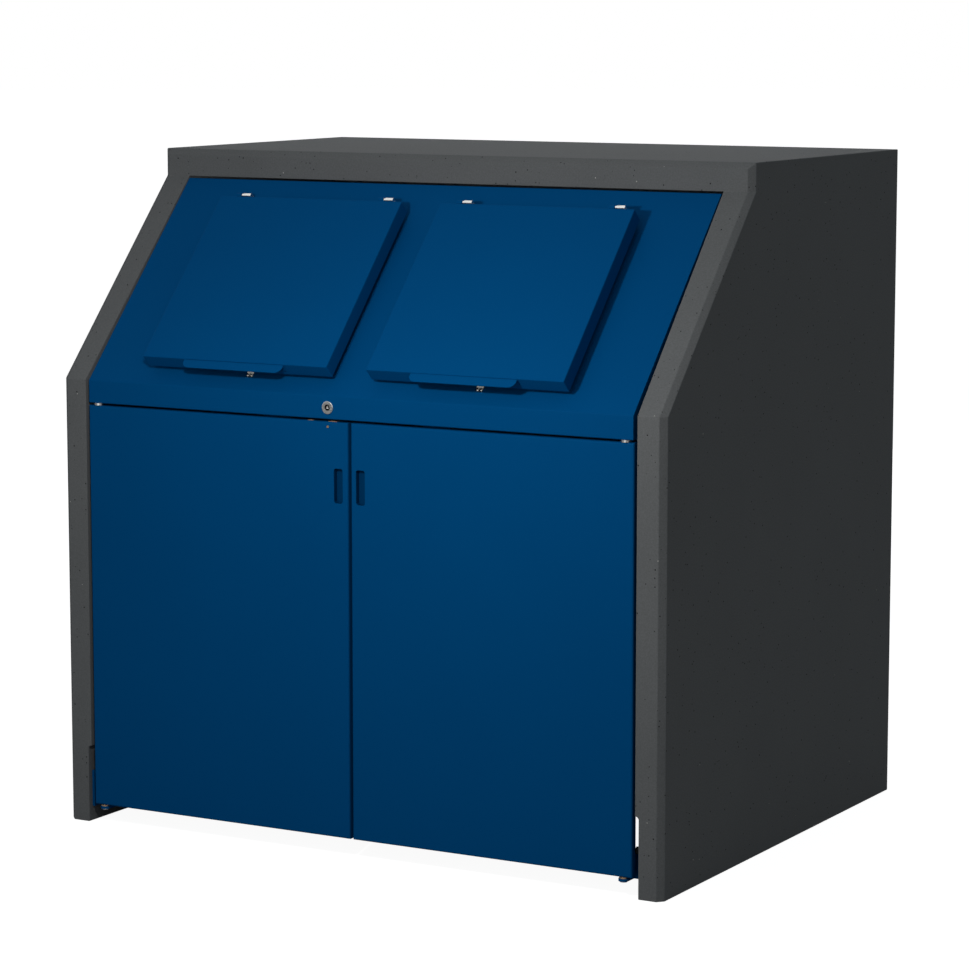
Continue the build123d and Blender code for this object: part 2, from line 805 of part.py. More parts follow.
def door_magnets():
    """Magnets that hold the closed doors."""
    magnets = []
    for side in SIDES.values():
        across = span(side, magnet_offset - magnet[0] / 2, magnet_offset + magnet[0] / 2)
        front = door_back + magnet_gap
        top = door_top - door_sheet
        magnets.append(block(across, (front, front + magnet[1]), (top - magnet[2], top)))
    return magnets


def anchor_angles():
    """Steel angles that bolt the housing to the ground."""
    angles = []
    half = anchor_width / 2
    for side in SIDES.values():
        wall = width / 2 - wall_at(anchor_leg)
        for y in anchor_rows:
            foot = block(span(side, wall - anchor_leg, wall), (y - half, y + half), (0, anchor_thickness))
            leg_x = span(side, wall - anchor_thickness, wall)
            angles.append(foot + block(leg_x, (y - half, y + half), (0, anchor_leg)))
    return angles


def anchor_bolts():
    """Bolts through the anchor angles, into the wall."""
    bolts = []
    for side in SIDES.values():
        wall = width / 2 - wall_at(anchor_leg)
        inner = wall - anchor_thickness
        for y in anchor_rows:
            shank = rod_x(10, span(side, inner, wall + anchor_depth), y, anchor_bolt_level)
            head = hexagon_x(16, span(side, inner - 6.5, inner), y, anchor_bolt_level)
            bolts.append(shank + head)
    return bolts


# ---------------------------------------------------------------- lock
def lock_rosette():
    """Lock housing with its round front plate."""
    body = rod_y(rosette, lock_offset, (face_y - rosette_height, face_y), lock_z)
    rims = [edge for edge in body.edges() if edge.center().Y < face_y - rosette_height + 0.1]
    body = chamfer(rims, rosette_bevel)
    body += rod_y(lock_barrel, lock_offset, (face_y, cam_y - 1), lock_z)
    recess = (face_y - rosette_height - 1, face_y - rosette_height + key_recess)
    body -= rod_y(lock_core - 2, lock_offset, recess, lock_z)
    return body - rod_y(lock_core + 2 * running_gap, lock_offset, (recess[1], cam_y), lock_z)


def lock_nut():
    """Nut that clamps the lock behind the fascia."""
    rear = face_y + sheet + lock_nut_height
    nut = hexagon_y(lock_nut_width, lock_offset, (face_y + sheet, rear), lock_z)
    return nut - rod_y(lock_barrel, lock_offset, (face_y, rear + 1), lock_z)


def lock_core_piece():
    """Turning core with the triangular key stub."""
    start = face_y - rosette_height + key_recess + 0.3
    core_body = rod_y(lock_core, lock_offset, (start, cam_y), lock_z)
    stub = extrude(RegularPolygon(key_side / 2, 3), key_height)
    core_body += Pos(lock_offset, start, lock_z) * Rot(90, 0, 0) * stub
    return core_body + cam_square((cam_y, cam_y + cam_thickness))


def cam_square(y):
    """Square end of the core, which drives the cam."""
    half = cam_drive / 2
    return block((lock_offset - half, lock_offset + half), y, (lock_z - half, lock_z + half))


def lock_cam():
    """Cam that turns down behind the strike of the left door. At rest it lies level, unlocked."""
    reach = (lock_offset - cam_length + cam_width / 2, lock_offset)
    plane = (cam_y, cam_y + cam_thickness)
    cam = block(reach, plane, (lock_z - cam_width / 2, lock_z + cam_width / 2))
    cam += rod_y(cam_width, reach[0], plane, lock_z)
    cam += rod_y(cam_width + 2, lock_offset, plane, lock_z)
    return cam - cam_square((cam_y - 1, cam_y + cam_thickness + 1))


def cam_screw():
    """Hexagon screw that holds the cam on the core."""
    rear = cam_y + cam_thickness
    return hexagon_y(10, lock_offset, (rear, rear + 4), lock_z)


# ---------------------------------------------------------------- assembly
def gather():
    """Every node, by name."""
    nodes = {
        "concrete_shell": concrete_shell(),
        "front_panel": front_panel(),
        "panel_angles": panel_angles(),
        "panel_bolts": panel_bolts(),
        "lid_hinge_screws": lid_hinge_screws(),
        "lid_rest_screws": lid_rest_screws(),
        "lower_pins": lower_pins(),
        "lower_washers": lower_washers(),
        "bracket_bolts": bracket_bolts(),
        "jamb_bolts": jamb_bolts(),
        "catch_brackets": catch_brackets(),
        "door_magnets": door_magnets(),
        "anchor_angles": anchor_angles(),
        "anchor_bolts": anchor_bolts(),
        "lock_rosette": lock_rosette(),
        "lock_nut": lock_nut(),
        "lock_core": lock_core_piece(),
        "lock_cam": lock_cam(),
        "cam_screw": cam_screw(),
        "strike_plate": strike_plate(),
        "strike_rivets": strike_rivets(),
    }
    makers = {
        "inlet_collar": inlet_collar,
        "collar_seal": collar_seal,
        "chute": chute,
        "lid_pan": lid_pan,
        "lid_grip": lid_grip,
        "lid_rib": lid_rib,
        "lid_hinge_leaves": lid_hinge_leaves,
        "lid_hinge_brackets": lid_hinge_brackets,
        "lid_hinge_pins": lid_hinge_pins,
        "lid_rest": lid_rest,
        "door_panel": door_panel,
        "grip_cup": grip_cup,
        "door_stiffeners": door_stiffeners,
        "door_pivot": door_pivot,
        "door_bush": door_bush,
        "upper_bush": upper_bush,
        "lower_bracket": lower_bracket,
        "jamb": jamb,
    }
    for name, maker in makers.items():
        for side_name, side in SIDES.items():
            nodes[f"{name}_{side_name}"] = maker(side)
    return nodes


def drill(nodes):
    """Cut the holes that the fasteners fill, so that nothing overlaps."""
    drilled = {
        "anchor_bolts": ["anchor_angles", "concrete_shell"],
        "bracket_bolts": ["concrete_shell", "lower_bracket_left", "lower_bracket_right"],
        "jamb_bolts": ["concrete_shell", "jamb_left", "jamb_right"],
        "panel_bolts": ["concrete_shell", "panel_angles"],
        "strike_rivets": ["door_panel_left", "strike_plate"],
        "lid_hinge_screws": ["front_panel", "lid_hinge_brackets_left", "lid_hinge_brackets_right"],
        "lid_rest_screws": ["front_panel", "lid_rest_left", "lid_rest_right"],
    }
    for fastener, hosts in drilled.items():
        for host in hosts:
            nodes[host] = cut(nodes[host], nodes[fastener])


def cut(shape, tools):
    """One shape, or each shape of a group, less the tools."""
    if isinstance(shape, list):
        return [piece - tools for piece in shape]
    return shape - tools


def write(nodes):
    """Write one STEP file for each node."""
    os.makedirs("parts", exist_ok=True)
    for name, shape in nodes.items():
        if isinstance(shape, list):
            shape = Compound(children=shape)
        export_step(shape, f"parts/{name}.step")


pieces = gather()
drill(pieces)
write(pieces)
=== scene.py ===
import json
from math import atan2, cos, pi, radians, sin

import bpy
from mathutils import Matrix, Vector


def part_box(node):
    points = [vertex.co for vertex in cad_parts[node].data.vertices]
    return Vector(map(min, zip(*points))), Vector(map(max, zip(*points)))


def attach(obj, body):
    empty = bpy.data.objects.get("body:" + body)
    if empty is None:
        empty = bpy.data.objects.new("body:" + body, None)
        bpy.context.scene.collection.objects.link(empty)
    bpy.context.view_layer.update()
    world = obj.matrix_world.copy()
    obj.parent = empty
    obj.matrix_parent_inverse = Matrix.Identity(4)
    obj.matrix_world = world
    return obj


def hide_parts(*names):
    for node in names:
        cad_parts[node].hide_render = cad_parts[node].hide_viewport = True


# Book drop box: a dark precast concrete housing with a powder-coated steel front.
# The frame brings every part as made. The hardware that meets the eye is modelled here in full,
# and every part gets its finish. Lengths are metres, and mm is one thousandth of that.

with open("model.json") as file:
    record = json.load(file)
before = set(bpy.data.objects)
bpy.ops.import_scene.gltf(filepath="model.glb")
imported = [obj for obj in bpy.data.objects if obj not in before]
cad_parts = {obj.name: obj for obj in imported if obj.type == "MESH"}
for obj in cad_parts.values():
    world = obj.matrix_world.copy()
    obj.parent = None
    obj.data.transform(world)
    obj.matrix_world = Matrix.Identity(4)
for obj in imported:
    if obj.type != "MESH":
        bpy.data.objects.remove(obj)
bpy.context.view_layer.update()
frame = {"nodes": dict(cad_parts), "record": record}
mm = 0.001

# ---------------------------------------------------------------- sizes shared with the frame
SLOPE_RUN = 365 * mm
SLOPE_RISE = 390 * mm
TILT = atan2(SLOPE_RISE, SLOPE_RUN)
PANEL_RECESS = 1 * mm
FASCIA_HEIGHT = 45.8 * mm
BEND_SHIFT = PANEL_RECESS * (1 - sin(TILT)) / cos(TILT)

face_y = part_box("front_panel")[0].y
fascia_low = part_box("front_panel")[0].z
bend_z = fascia_low + FASCIA_HEIGHT + BEND_SHIFT * sin(TILT) - PANEL_RECESS * cos(TILT)
SLOPE = Matrix.Translation((0, face_y, bend_z)) @ Matrix.Rotation(TILT, 4, "X")

SIDES = {"left": -1, "right": 1}
SLOT_OF = {row["node"]: row["material_slot"] for row in frame["record"]["subparts"]}

# Housing
FRONT_HEIGHT = 904 * mm
ROOF_BAND = 56 * mm
WALL = 57 * mm
WALL_AT_ROOF = 63 * mm
FRONT_CHAMFER = 12 * mm
CORE_RADIUS = 20 * mm
NOTCH_DEPTH = 7.5 * mm
NOTCH_BEVEL = 4 * mm
NOTCH_HEIGHT = 157 * mm
NOTCH_RUN = 150 * mm
ARRIS = 1.5 * mm

# Lids, across, up the slope and out of the panel
LID_OFFSET = 257.5 * mm
LID_HALF = 213.5 * mm
LID_START = 33.5 * mm
LID_END = 447.5 * mm
LID_HEIGHT = 46 * mm
LID_FLANGE = 30 * mm
LID_SHEET = 2 * mm
LID_FOLD = 1.8 * mm
LIP_HALF = 115 * mm
LIP_LENGTH = 19 * mm
LIP_CORNER = 15 * mm
LIP_TAB = 14 * mm

# Lift-off hinges
HINGE_STARTS = (-180.5 * mm, 155 * mm)
HINGE_S = 455 * mm
HINGE_H = 39.5 * mm
KNUCKLE = 4.5 * mm
KNUCKLE_MOVING = 12 * mm
KNUCKLE_FIXED = 17.2 * mm
PIN = 2.5 * mm
PIN_PROUD = 1 * mm
PIN_COLLAR = 3.25 * mm
COLLAR_LENGTH = 4.3 * mm
BORE_PLAY = 0.05 * mm
HINGE_PLAY = 0.5 * mm
LEAF = 2.5 * mm
LEAF_LOW = 18 * mm
FOOT_DEPTH = 12 * mm
SCREW_INSET = 4.5 * mm
SCREW_HEAD = 3.5 * mm
SCREW_HEAD_HEIGHT = 2.3 * mm

# Lock
ROSETTE_PROUD = 2.5 * mm
ROSETTE = 12.5 * mm
ROSETTE_ROUND = 0.9 * mm
LOCK_BARREL = 10 * mm
KEY_BORE = 6 * mm
KEY_RECESS = 4 * mm
CORE = 7 * mm
KEY_STUB = 4 * mm
KEY_STUB_LENGTH = 4 * mm
CAM_SQUARE = 7 * mm
CAM_SQUARE_LENGTH = 3 * mm

# Softened edges, and how far a tool reaches past what it cuts or joins
SHEET_EDGE = 0.3 * mm
LIP_EDGE = 0.5 * mm
HINGE_EDGE = 0.35 * mm
PAST = 1 * mm

# Choosing faces and edges: how near counts as on a plane, and how well aligned as along an axis
NEAR = 1.5 * mm
FACE_NEAR = 0.1 * mm
ALIGNED = 0.9
SQUARE_ON = 0.98
ACROSS = 0.1

# Camera
LENS = 127.308
SENSOR = 36
CAMERA_X = 3.43283
CAMERA_AHEAD = 5.52532
CAMERA_Z = 1.64765
CAMERA_PITCH = 82.0093
CAMERA_TURN = 29.5661

# Studio surround and ground
WORLD_LIGHT = 0.255
WORLD_SHINE = 1.0
FLOOR_PAINT = (0.35, 0.35, 0.35, 1)
FLOOR_GLOW = 0.94


# ---------------------------------------------------------------- camera, lights and ground
def add_camera():
    """Long lens, from the front right and above."""
    data = bpy.data.cameras.new("camera")
    data.lens = LENS
    data.sensor_width = SENSOR
    camera = bpy.data.objects.new("camera", data)
    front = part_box("concrete_shell")[0].y
    camera.location = (CAMERA_X, front - CAMERA_AHEAD, CAMERA_Z)
    camera.rotation_euler = (radians(CAMERA_PITCH), 0, radians(CAMERA_TURN))
    bpy.context.scene.collection.objects.link(camera)
    bpy.context.scene.camera = camera


def add_light(name, kind, place, power, size, aim=None, colour=(1, 1, 1)):
    """One studio lamp, turned to its aim."""
    data = bpy.data.lights.new(name, kind)
    data.energy = power
    data.color = colour
    if kind == "AREA":
        data.size = size
    else:
        data.shadow_soft_size = size
    lamp = bpy.data.objects.new(name, data)
    lamp.location = place
    if aim:
        lamp.rotation_euler = (Vector(aim) - Vector(place)).to_track_quat("-Z", "Y").to_euler()
    bpy.context.scene.collection.objects.link(lamp)
    return lamp


def add_world():
    """Even studio surround: white to the eye, dimmer as a source of light."""
    world = bpy.data.worlds.new("studio")
    bpy.context.scene.world = world
    world.use_nodes = True
    tree = world.node_tree
    tree.nodes.clear()
    seen = add_node(tree, "ShaderNodeBackground", {"Color": (1, 1, 1, 1), "Strength": 1.0})
    soft = add_node(tree, "ShaderNodeBackground", {"Color": (0.93, 0.99, 1.03, 1), "Strength": WORLD_LIGHT})
    shiny = add_node(tree, "ShaderNodeBackground", {"Color": (1, 1, 1, 1), "Strength": WORLD_SHINE})
    path = add_node(tree, "ShaderNodeLightPath")
    unseen = add_node(tree, "ShaderNodeMixShader", {
        0: (path, "Is Glossy Ray"), 1: (soft, 0), 2: (shiny, 0)})
    mix = add_node(tree, "ShaderNodeMixShader", {0: (path, "Is Camera Ray"), 1: (unseen, 0), 2: (seen, 0)})
    add_node(tree, "ShaderNodeOutputWorld", {"Surface": (mix, 0)})


def add_floor():
    """Plain pale floor, far wider than the view."""
    clear_selection()
    bpy.ops.mesh.primitive_circle_add(vertices=64, radius=60, fill_type="NGON", location=(0, 0, -0.0005))
    floor = bpy.context.object
    floor.name = "studio_floor"
    material = bpy.data.materials.new("pale_floor")
    material.use_nodes = True
    tree = material.node_tree
    tree.nodes.clear()
    paint = add_node(tree, "ShaderNodeBsdfDiffuse", {"Color": FLOOR_PAINT})
    glow = add_node(tree, "ShaderNodeEmission", {"Color": (1, 1, 1, 1), "Strength": FLOOR_GLOW})
    path = add_node(tree, "ShaderNodeLightPath")
    dark = add_node(tree, "ShaderNodeEmission", {"Color": (0, 0, 0, 1), "Strength": 0.0})
    lift = add_node(tree, "ShaderNodeMixShader", {0: (path, "Is Camera Ray"), 1: (dark, 0), 2: (glow, 0)})
    both = add_node(tree, "ShaderNodeAddShader", {0: (paint, 0), 1: (lift, 0)})
    add_node(tree, "ShaderNodeOutputMaterial", {"Surface": (both, 0)})
    floor.data.materials.append(material)


# ---------------------------------------------------------------- node and colour helpers
def add_node(tree, kind, inputs=None, **settings):
    """Add a node, set its properties, and fill its inputs with values or with (node, output) links."""
    node = tree.nodes.new(kind)
    for name, value in settings.items():
        setattr(node, name, value)
    for socket, value in (inputs or {}).items():
        if isinstance(value, tuple) and isinstance(value[0], bpy.types.Node):
            tree.links.new(value[0].outputs[value[1]], node.inputs[socket])
        else:
            node.inputs[socket].default_value = value
    return node


def paint(code):
    """Linear colour of an sRGB hex value."""
    channels = [int(code[i:i + 2], 16) / 255 for i in (0, 2, 4)]
    linear = [c / 12.92 if c <= 0.04045 else ((c + 0.055) / 1.055) ** 2.4 for c in channels]
    return (*linear, 1.0)


def new_material(name):
    """A new material with an empty node tree."""
    material = bpy.data.materials.new(name)
    material.use_nodes = True
    material.node_tree.nodes.clear()
    return material, material.node_tree


def per_mm(size):
    """Texture scale whose pattern repeats about every so many millimetres."""
    return 1 / (size * mm)


def clear_selection():
    """Nothing selected, so that an operator acts on the new piece only."""
    bpy.ops.object.select_all(action="DESELECT")


# ---------------------------------------------------------------- finishes
# Sockets by number: a colour Mix takes its factor at 0 and its colours at 6 and 7, and gives the result at 2.
# A Map Range takes its value at 0, the range it comes from at 1 and 2, and the range it goes to at 3 and 4.
def concrete():
    """Through-coloured anthracite precast concrete, cast in steel forms: smooth and matt, with small open
    pores, rarer on the big side faces, faint clouds from the pour and a few pale grains.
    The pores are near-black spots of painted shade over a shallow bump."""
    material, tree = new_material("anthracite_precast_concrete")
    where = add_node(tree, "ShaderNodeTexCoord")
    clouds = add_node(tree, "ShaderNodeTexNoise", {
        "Vector": (where, "Object"), "Scale": per_mm(180), "Detail": 5.0, "Roughness": 0.6})
    grit = add_node(tree, "ShaderNodeTexNoise", {
        "Vector": (where, "Object"), "Scale": per_mm(3), "Detail": 3.0})
    body = add_node(tree, "ShaderNodeMix", {
        0: (clouds, 0), 6: paint("616364"), 7: paint("696B6C")}, data_type="RGBA")
    sand = add_node(tree, "ShaderNodeMix", {
        0: 0.25, 6: (body, 2), 7: (grit, 0)}, data_type="RGBA", blend_type="OVERLAY")

    cells = add_node(tree, "ShaderNodeTexVoronoi", {
        "Vector": (where, "Object"), "Scale": per_mm(9), "Randomness": 1.0})
    size = add_node(tree, "ShaderNodeSeparateColor", {0: (cells, "Color")})
    facing = add_node(tree, "ShaderNodeNewGeometry")
    parts = add_node(tree, "ShaderNodeSeparateXYZ", {0: (facing, "Normal")})
    sideways = add_node(tree, "ShaderNodeMath", {0: (parts, 0)}, operation="ABSOLUTE")
    on_side = add_node(tree, "ShaderNodeMath", {0: (sideways, 0), 1: 0.9}, operation="GREATER_THAN")
    rarest = add_node(tree, "ShaderNodeMath", {0: (on_side, 0), 1: 0.4, 2: 0.52}, operation="MULTIPLY_ADD")
    radius = add_node(tree, "ShaderNodeMapRange", {0: (size, 0), 1: (rarest, 0), 2: 1.0, 3: 0.02, 4: 0.17})
    pore = add_node(tree, "ShaderNodeMath", {0: (cells, "Distance"), 1: (radius, 0)}, operation="LESS_THAN")
    # Pores are painted near black: painted shade in the small holes.
    pores_with_painted_shade = add_node(tree, "ShaderNodeMix", {
        0: (pore, 0), 6: (sand, 2), 7: paint("242526")}, data_type="RGBA")

    grains = add_node(tree, "ShaderNodeTexVoronoi", {
        "Vector": (where, "Object"), "Scale": per_mm(26), "Randomness": 1.0})
    pick = add_node(tree, "ShaderNodeSeparateColor", {0: (grains, "Color")})
    grain_size = add_node(tree, "ShaderNodeMapRange", {0: (pick, 1), 1: 0.8, 2: 1.0, 3: 0.01, 4: 0.045})
    grain = add_node(tree, "ShaderNodeMath", {
        0: (grains, "Distance"), 1: (grain_size, 0)}, operation="LESS_THAN")
    colour = add_node(tree, "ShaderNodeMix", {
        0: (grain, 0), 6: (pores_with_painted_shade, 2), 7: paint("C4C3BD")}, data_type="RGBA")

    depth = add_node(tree, "ShaderNodeMath", {0: (pore, 0), 1: -1.0, 2: 1.0}, operation="MULTIPLY_ADD")
    pits = add_node(tree, "ShaderNodeBump", {"Height": (depth, 0), "Strength": 0.6, "Distance": 1.0 * mm})
    skin = add_node(tree, "ShaderNodeBump", {
        "Height": (grit, 0), "Strength": 0.35, "Distance": 0.3 * mm, "Normal": (pits, 0)})
    rough = add_node(tree, "ShaderNodeMapRange", {0: (clouds, 0), 3: 0.78, 4: 0.9})
    shader = add_node(tree, "ShaderNodeBsdfPrincipled", {
        "Base Color": (colour, 2), "Roughness": (rough, 0), "Specular IOR Level": 0.05, "Normal": (skin, 0)})
    add_node(tree, "ShaderNodeOutputMaterial", {"Surface": (shader, 0)})
    return material


def powder_coat(name, code, darker):
    """Polyester powder coat, sprayed and baked on sheet steel: an even satin skin with fine orange peel."""
    material, tree = new_material(name)
    where = add_node(tree, "ShaderNodeTexCoord")
    peel = add_node(tree, "ShaderNodeTexNoise", {
        "Vector": (where, "Object"), "Scale": per_mm(2.2), "Detail": 2.0})
    drift = add_node(tree, "ShaderNodeTexNoise", {
        "Vector": (where, "Object"), "Scale": per_mm(240), "Detail": 3.0})
    colour = add_node(tree, "ShaderNodeMix", {
        0: (drift, 0), 6: paint(darker), 7: paint(code)}, data_type="RGBA")
    bump = add_node(tree, "ShaderNodeBump", {"Height": (peel, 0), "Strength": 0.3, "Distance": 0.08 * mm})
    rough = add_node(tree, "ShaderNodeMapRange", {0: (drift, 0), 3: 0.44, 4: 0.52})
    shader = add_node(tree, "ShaderNodeBsdfPrincipled", {
        "Base Color": (colour, 2), "Roughness": (rough, 0), "Specular IOR Level": 0.01, "Normal": (bump, 0)})
    add_node(tree, "ShaderNodeOutputMaterial", {"Surface": (shader, 0)})
    return material


def metal(name, code, second, patch, roughness, stretch=(1, 1, 1), relief=0.02):
    """Bare or plated metal: patches of two close tones, with streaks or spangle from how it was made."""
    material, tree = new_material(name)
    where = add_node(tree, "ShaderNodeTexCoord")
    turned = add_node(tree, "ShaderNodeMapping", {"Vector": (where, "Object"), "Scale": stretch})
    grain = add_node(tree, "ShaderNodeTexNoise", {
        "Vector": (turned, 0), "Scale": per_mm(patch), "Detail": 4.0})
    tone = add_node(tree, "ShaderNodeMapRange", {0: (grain, 0), 1: 0.35, 2: 0.65})
    colour = add_node(tree, "ShaderNodeMix", {
        0: (tone, 0), 6: paint(code), 7: paint(second)}, data_type="RGBA")
    bump = add_node(tree, "ShaderNodeBump", {
        "Height": (grain, 0), "Strength": 0.4, "Distance": relief * mm})
    rough = add_node(tree, "ShaderNodeMapRange", {0: (grain, 0), 3: roughness - 0.08, 4: roughness + 0.08})
    shader = add_node(tree, "ShaderNodeBsdfPrincipled", {
        "Base Color": (colour, 2), "Roughness": (rough, 0), "Metallic": 1.0, "Normal": (bump, 0)})
    add_node(tree, "ShaderNodeOutputMaterial", {"Surface": (shader, 0)})
    return material


def rubber(name, code, second, roughness):
    """Moulded or extruded black rubber and plastic: matt, with a dusty bloom and a fine grain."""
    material, tree = new_material(name)
    where = add_node(tree, "ShaderNodeTexCoord")
    grain = add_node(tree, "ShaderNodeTexNoise", {
        "Vector": (where, "Object"), "Scale": per_mm(1.2), "Detail": 3.0})
    bloom = add_node(tree, "ShaderNodeTexNoise", {
        "Vector": (where, "Object"), "Scale": per_mm(30), "Detail": 4.0})
    colour = add_node(tree, "ShaderNodeMix", {
        0: (bloom, 0), 6: paint(code), 7: paint(second)}, data_type="RGBA")
    bump = add_node(tree, "ShaderNodeBump", {"Height": (grain, 0), "Strength": 0.3, "Distance": 0.05 * mm})
    shader = add_node(tree, "ShaderNodeBsdfPrincipled", {
        "Base Color": (colour, 2), "Roughness": roughness, "Normal": (bump, 0)})
    add_node(tree, "ShaderNodeOutputMaterial", {"Surface": (shader, 0)})
    return material


FINISHES = {
    "concrete": concrete(),
    "blue_coat": powder_coat("gentian_blue_powder_coat", "004C82", "00497E"),
    "galvanised_steel": metal("hot_dip_galvanised_steel", "8E9294", "A9ADAF", 9, 0.42),
    "seal_rubber": rubber("extruded_epdm_rubber", "1A1A1B", "242425", 0.78),
    "stainless": metal("brushed_stainless_steel", "D2D1CE", "E2E1DF", 0.8, 0.26, stretch=(0.05, 1, 1)),
    "bronze": metal("sintered_bronze", "A98D6C", "BFA283", 1.5, 0.45),
    # Black oxide is a thin even satin skin too, so it is drawn as the powder coat is.
    "black_steel": powder_coat("black_oxide_steel", "191A1B", "121213"),
    "yellow_zinc": metal("yellow_passivated_zinc", "C7A77C", "C08F84", 4, 0.35),
    "magnet_black": rubber("black_abs_plastic", "161617", "1D1D1E", 0.5),
    "zinc_bolt": metal("bright_zinc_plate", "B3B6B8", "C4C6C7", 3, 0.3),
}

# The cups are coated as the doors are. Their inside is painted darker than the doors: painted shade, for the
# deep shade in the cups.
CUP_COAT_WITH_PAINTED_SHADE = powder_coat("coat_with_painted_shade_in_grip_cup", "003862", "00355E")


def finish_frame_parts():
    """Give every frame part that stays in view the finish of its slot, and the grip cups a darker coat of
    painted shade.
    """
    for name, part in frame["nodes"].items():
        part.data.materials.clear()
        # Grip cups take the coat darkened with painted shade; every other part takes its slot's finish.
        finish = CUP_COAT_WITH_PAINTED_SHADE if name.startswith("grip_cup") else FINISHES[SLOT_OF[name]]
        part.data.materials.append(finish)


# ---------------------------------------------------------------- making pieces
def box_piece(name, x, y, z):
    """A box between two values on each axis, to be shaped further."""
    clear_selection()
    middle = ((x[0] + x[1]) / 2, (y[0] + y[1]) / 2, (z[0] + z[1]) / 2)
    bpy.ops.mesh.primitive_cube_add(size=1, location=middle)
    piece = bpy.context.object
    piece.name = name
    piece.scale = (abs(x[1] - x[0]), abs(y[1] - y[0]), abs(z[1] - z[0]))
    bpy.ops.object.transform_apply(location=True, rotation=True, scale=True)
    return piece


def rod_piece(name, radius, axis, start, end, sides=48):
    """A round bar along an axis through a point, from start to end along it."""
    clear_selection()
    middle = Vector(axis[1])
    turn = {"x": (0, pi / 2, 0), "y": (pi / 2, 0, 0), "z": (0, 0, 0)}[axis[0]]
    middle["xyz".index(axis[0])] = (start + end) / 2
    bpy.ops.mesh.primitive_cylinder_add(
        vertices=sides, radius=radius, depth=abs(end - start), location=middle, rotation=turn)
    piece = bpy.context.object
    piece.name = name
    bpy.ops.object.transform_apply(location=True, rotation=True, scale=True)
    return piece


def choose(piece, kind, wanted):
    """In edit mode, select the faces or edges whose middle and direction pass a test."""
    if bpy.context.mode != "OBJECT":
        leave_edit()
    clear_selection()
    piece.select_set(True)
    bpy.context.view_layer.objects.active = piece
    bpy.ops.object.mode_set(mode="EDIT")
    bpy.ops.mesh.select_mode(type=kind)
    bpy.ops.mesh.select_all(action="DESELECT")
    bpy.ops.object.mode_set(mode="OBJECT")
    points = piece.data.vertices
    if kind == "FACE":
        for face in piece.data.polygons:
            face.select = wanted(face.center, face.normal)
    else:
        for edge in piece.data.edges:
            first, second = (points[index].co for index in edge.vertices)
            edge.select = wanted((first + second) / 2, (second - first).normalized())
    bpy.ops.object.mode_set(mode="EDIT")


def leave_edit():
    """Back to object mode."""
    bpy.ops.object.mode_set(mode="OBJECT")


def extrude(value):
    """Pull the selected faces out by a vector."""
    bpy.ops.mesh.extrude_region_move(TRANSFORM_OT_translate={"value": value})


def apply_modifier(piece, name, kind, **settings):
    """Add a modifier with its settings and apply it."""
    modifier = piece.modifiers.new(name, kind)
    for setting, value in settings.items():
        setattr(modifier, setting, value)
    clear_selection()
    piece.select_set(True)
    bpy.context.view_layer.objects.active = piece
    bpy.ops.object.modifier_apply(modifier=modifier.name)


def soften(piece, radius, segments=2):
    """Round the sharp edges a little."""
    apply_modifier(piece, "soft_edges", "BEVEL", width=radius, segments=segments,
                   limit_method="ANGLE", angle_limit=radians(30))


def carve(piece, tool, operation="DIFFERENCE"):
    """Cut a tool out of a piece, or weld it on, and drop the tool."""
    apply_modifier(piece, "carve", "BOOLEAN", object=tool, operation=operation, solver="EXACT")
    bpy.data.objects.remove(tool)


def twin(piece, name, shift):
    """A copy of a piece with its own mesh, moved across."""
    clear_selection()
    piece.select_set(True)
    bpy.context.view_layer.objects.active = piece
    bpy.ops.object.duplicate()
    copy = bpy.context.object
    copy.name = name
    copy.location.x += shift
    bpy.ops.object.transform_apply(location=True, rotation=True, scale=True)
    return copy


def settle(piece, body, *nodes, place=None):
    """Bring a finished piece to its place, give it its finish, and let it ride on its body."""
    if place is not None:
        piece.matrix_world = place
    clear_selection()
    piece.select_set(True)
    bpy.context.view_layer.objects.active = piece
    bpy.ops.object.transform_apply(location=True, rotation=True, scale=True)
    bpy.ops.object.shade_smooth_by_angle(angle=radians(50))
    apply_modifier(piece, "even_shading", "WEIGHTED_NORMAL", keep_sharp=True, weight=50)
    name = SLOT_OF[nodes[0]]
    piece.data.materials.clear()
    piece.data.materials.append(FINISHES[name])
    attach(piece, body)
    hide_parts(*nodes)


# ---------------------------------------------------------------- housing
def model_housing():
    """Precast housing: upright front, slanted front and roof band, chamfered, hollowed and notched."""
    low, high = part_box("concrete_shell")
    slant_back = low.y + SLOPE_RUN
    shell = box_piece("precast_housing", (low.x, high.x), (low.y, high.y), (0, FRONT_HEIGHT))
    choose(shell, "FACE", lambda middle, normal: normal.z > ALIGNED)
    extrude((0, 0, SLOPE_RISE))
    choose(shell, "EDGE", lambda middle, along: abs(along.x) > ALIGNED
           and middle.z > FRONT_HEIGHT + ROOF_BAND and middle.y < low.y + NEAR)
    bpy.ops.transform.translate(value=(0, SLOPE_RUN, 0))
    choose(shell, "FACE", lambda middle, normal: normal.z > ALIGNED)
    extrude((0, 0, ROOF_BAND))
    choose(shell, "EDGE", lambda middle, along: outer_front_edge(middle, along, low, high, slant_back))
    bpy.ops.mesh.bevel(offset=FRONT_CHAMFER, offset_type="OFFSET", segments=1, clamp_overlap=False)
    leave_edit()

    carve(shell, model_core(low, high))
    for side in SIDES.values():
        carve(shell, model_notch(side, low, high))
    soften(shell, ARRIS)
    settle(shell, "housing", "concrete_shell")


def outer_front_edge(middle, along, low, high, slant_back):
    """True for the outer edges of the front faces of the walls and for the front edge of the roof."""
    on_side = min(abs(middle.x - low.x), abs(middle.x - high.x)) < NEAR
    in_front = middle.y < slant_back + NEAR and middle.z > NEAR and abs(along.x) < ACROSS
    along_roof = abs(along.x) > ALIGNED and middle.z > high.z - NEAR and middle.y < slant_back + NEAR
    upright = abs(along.y) <= ALIGNED
    return (on_side and in_front and upright) or along_roof


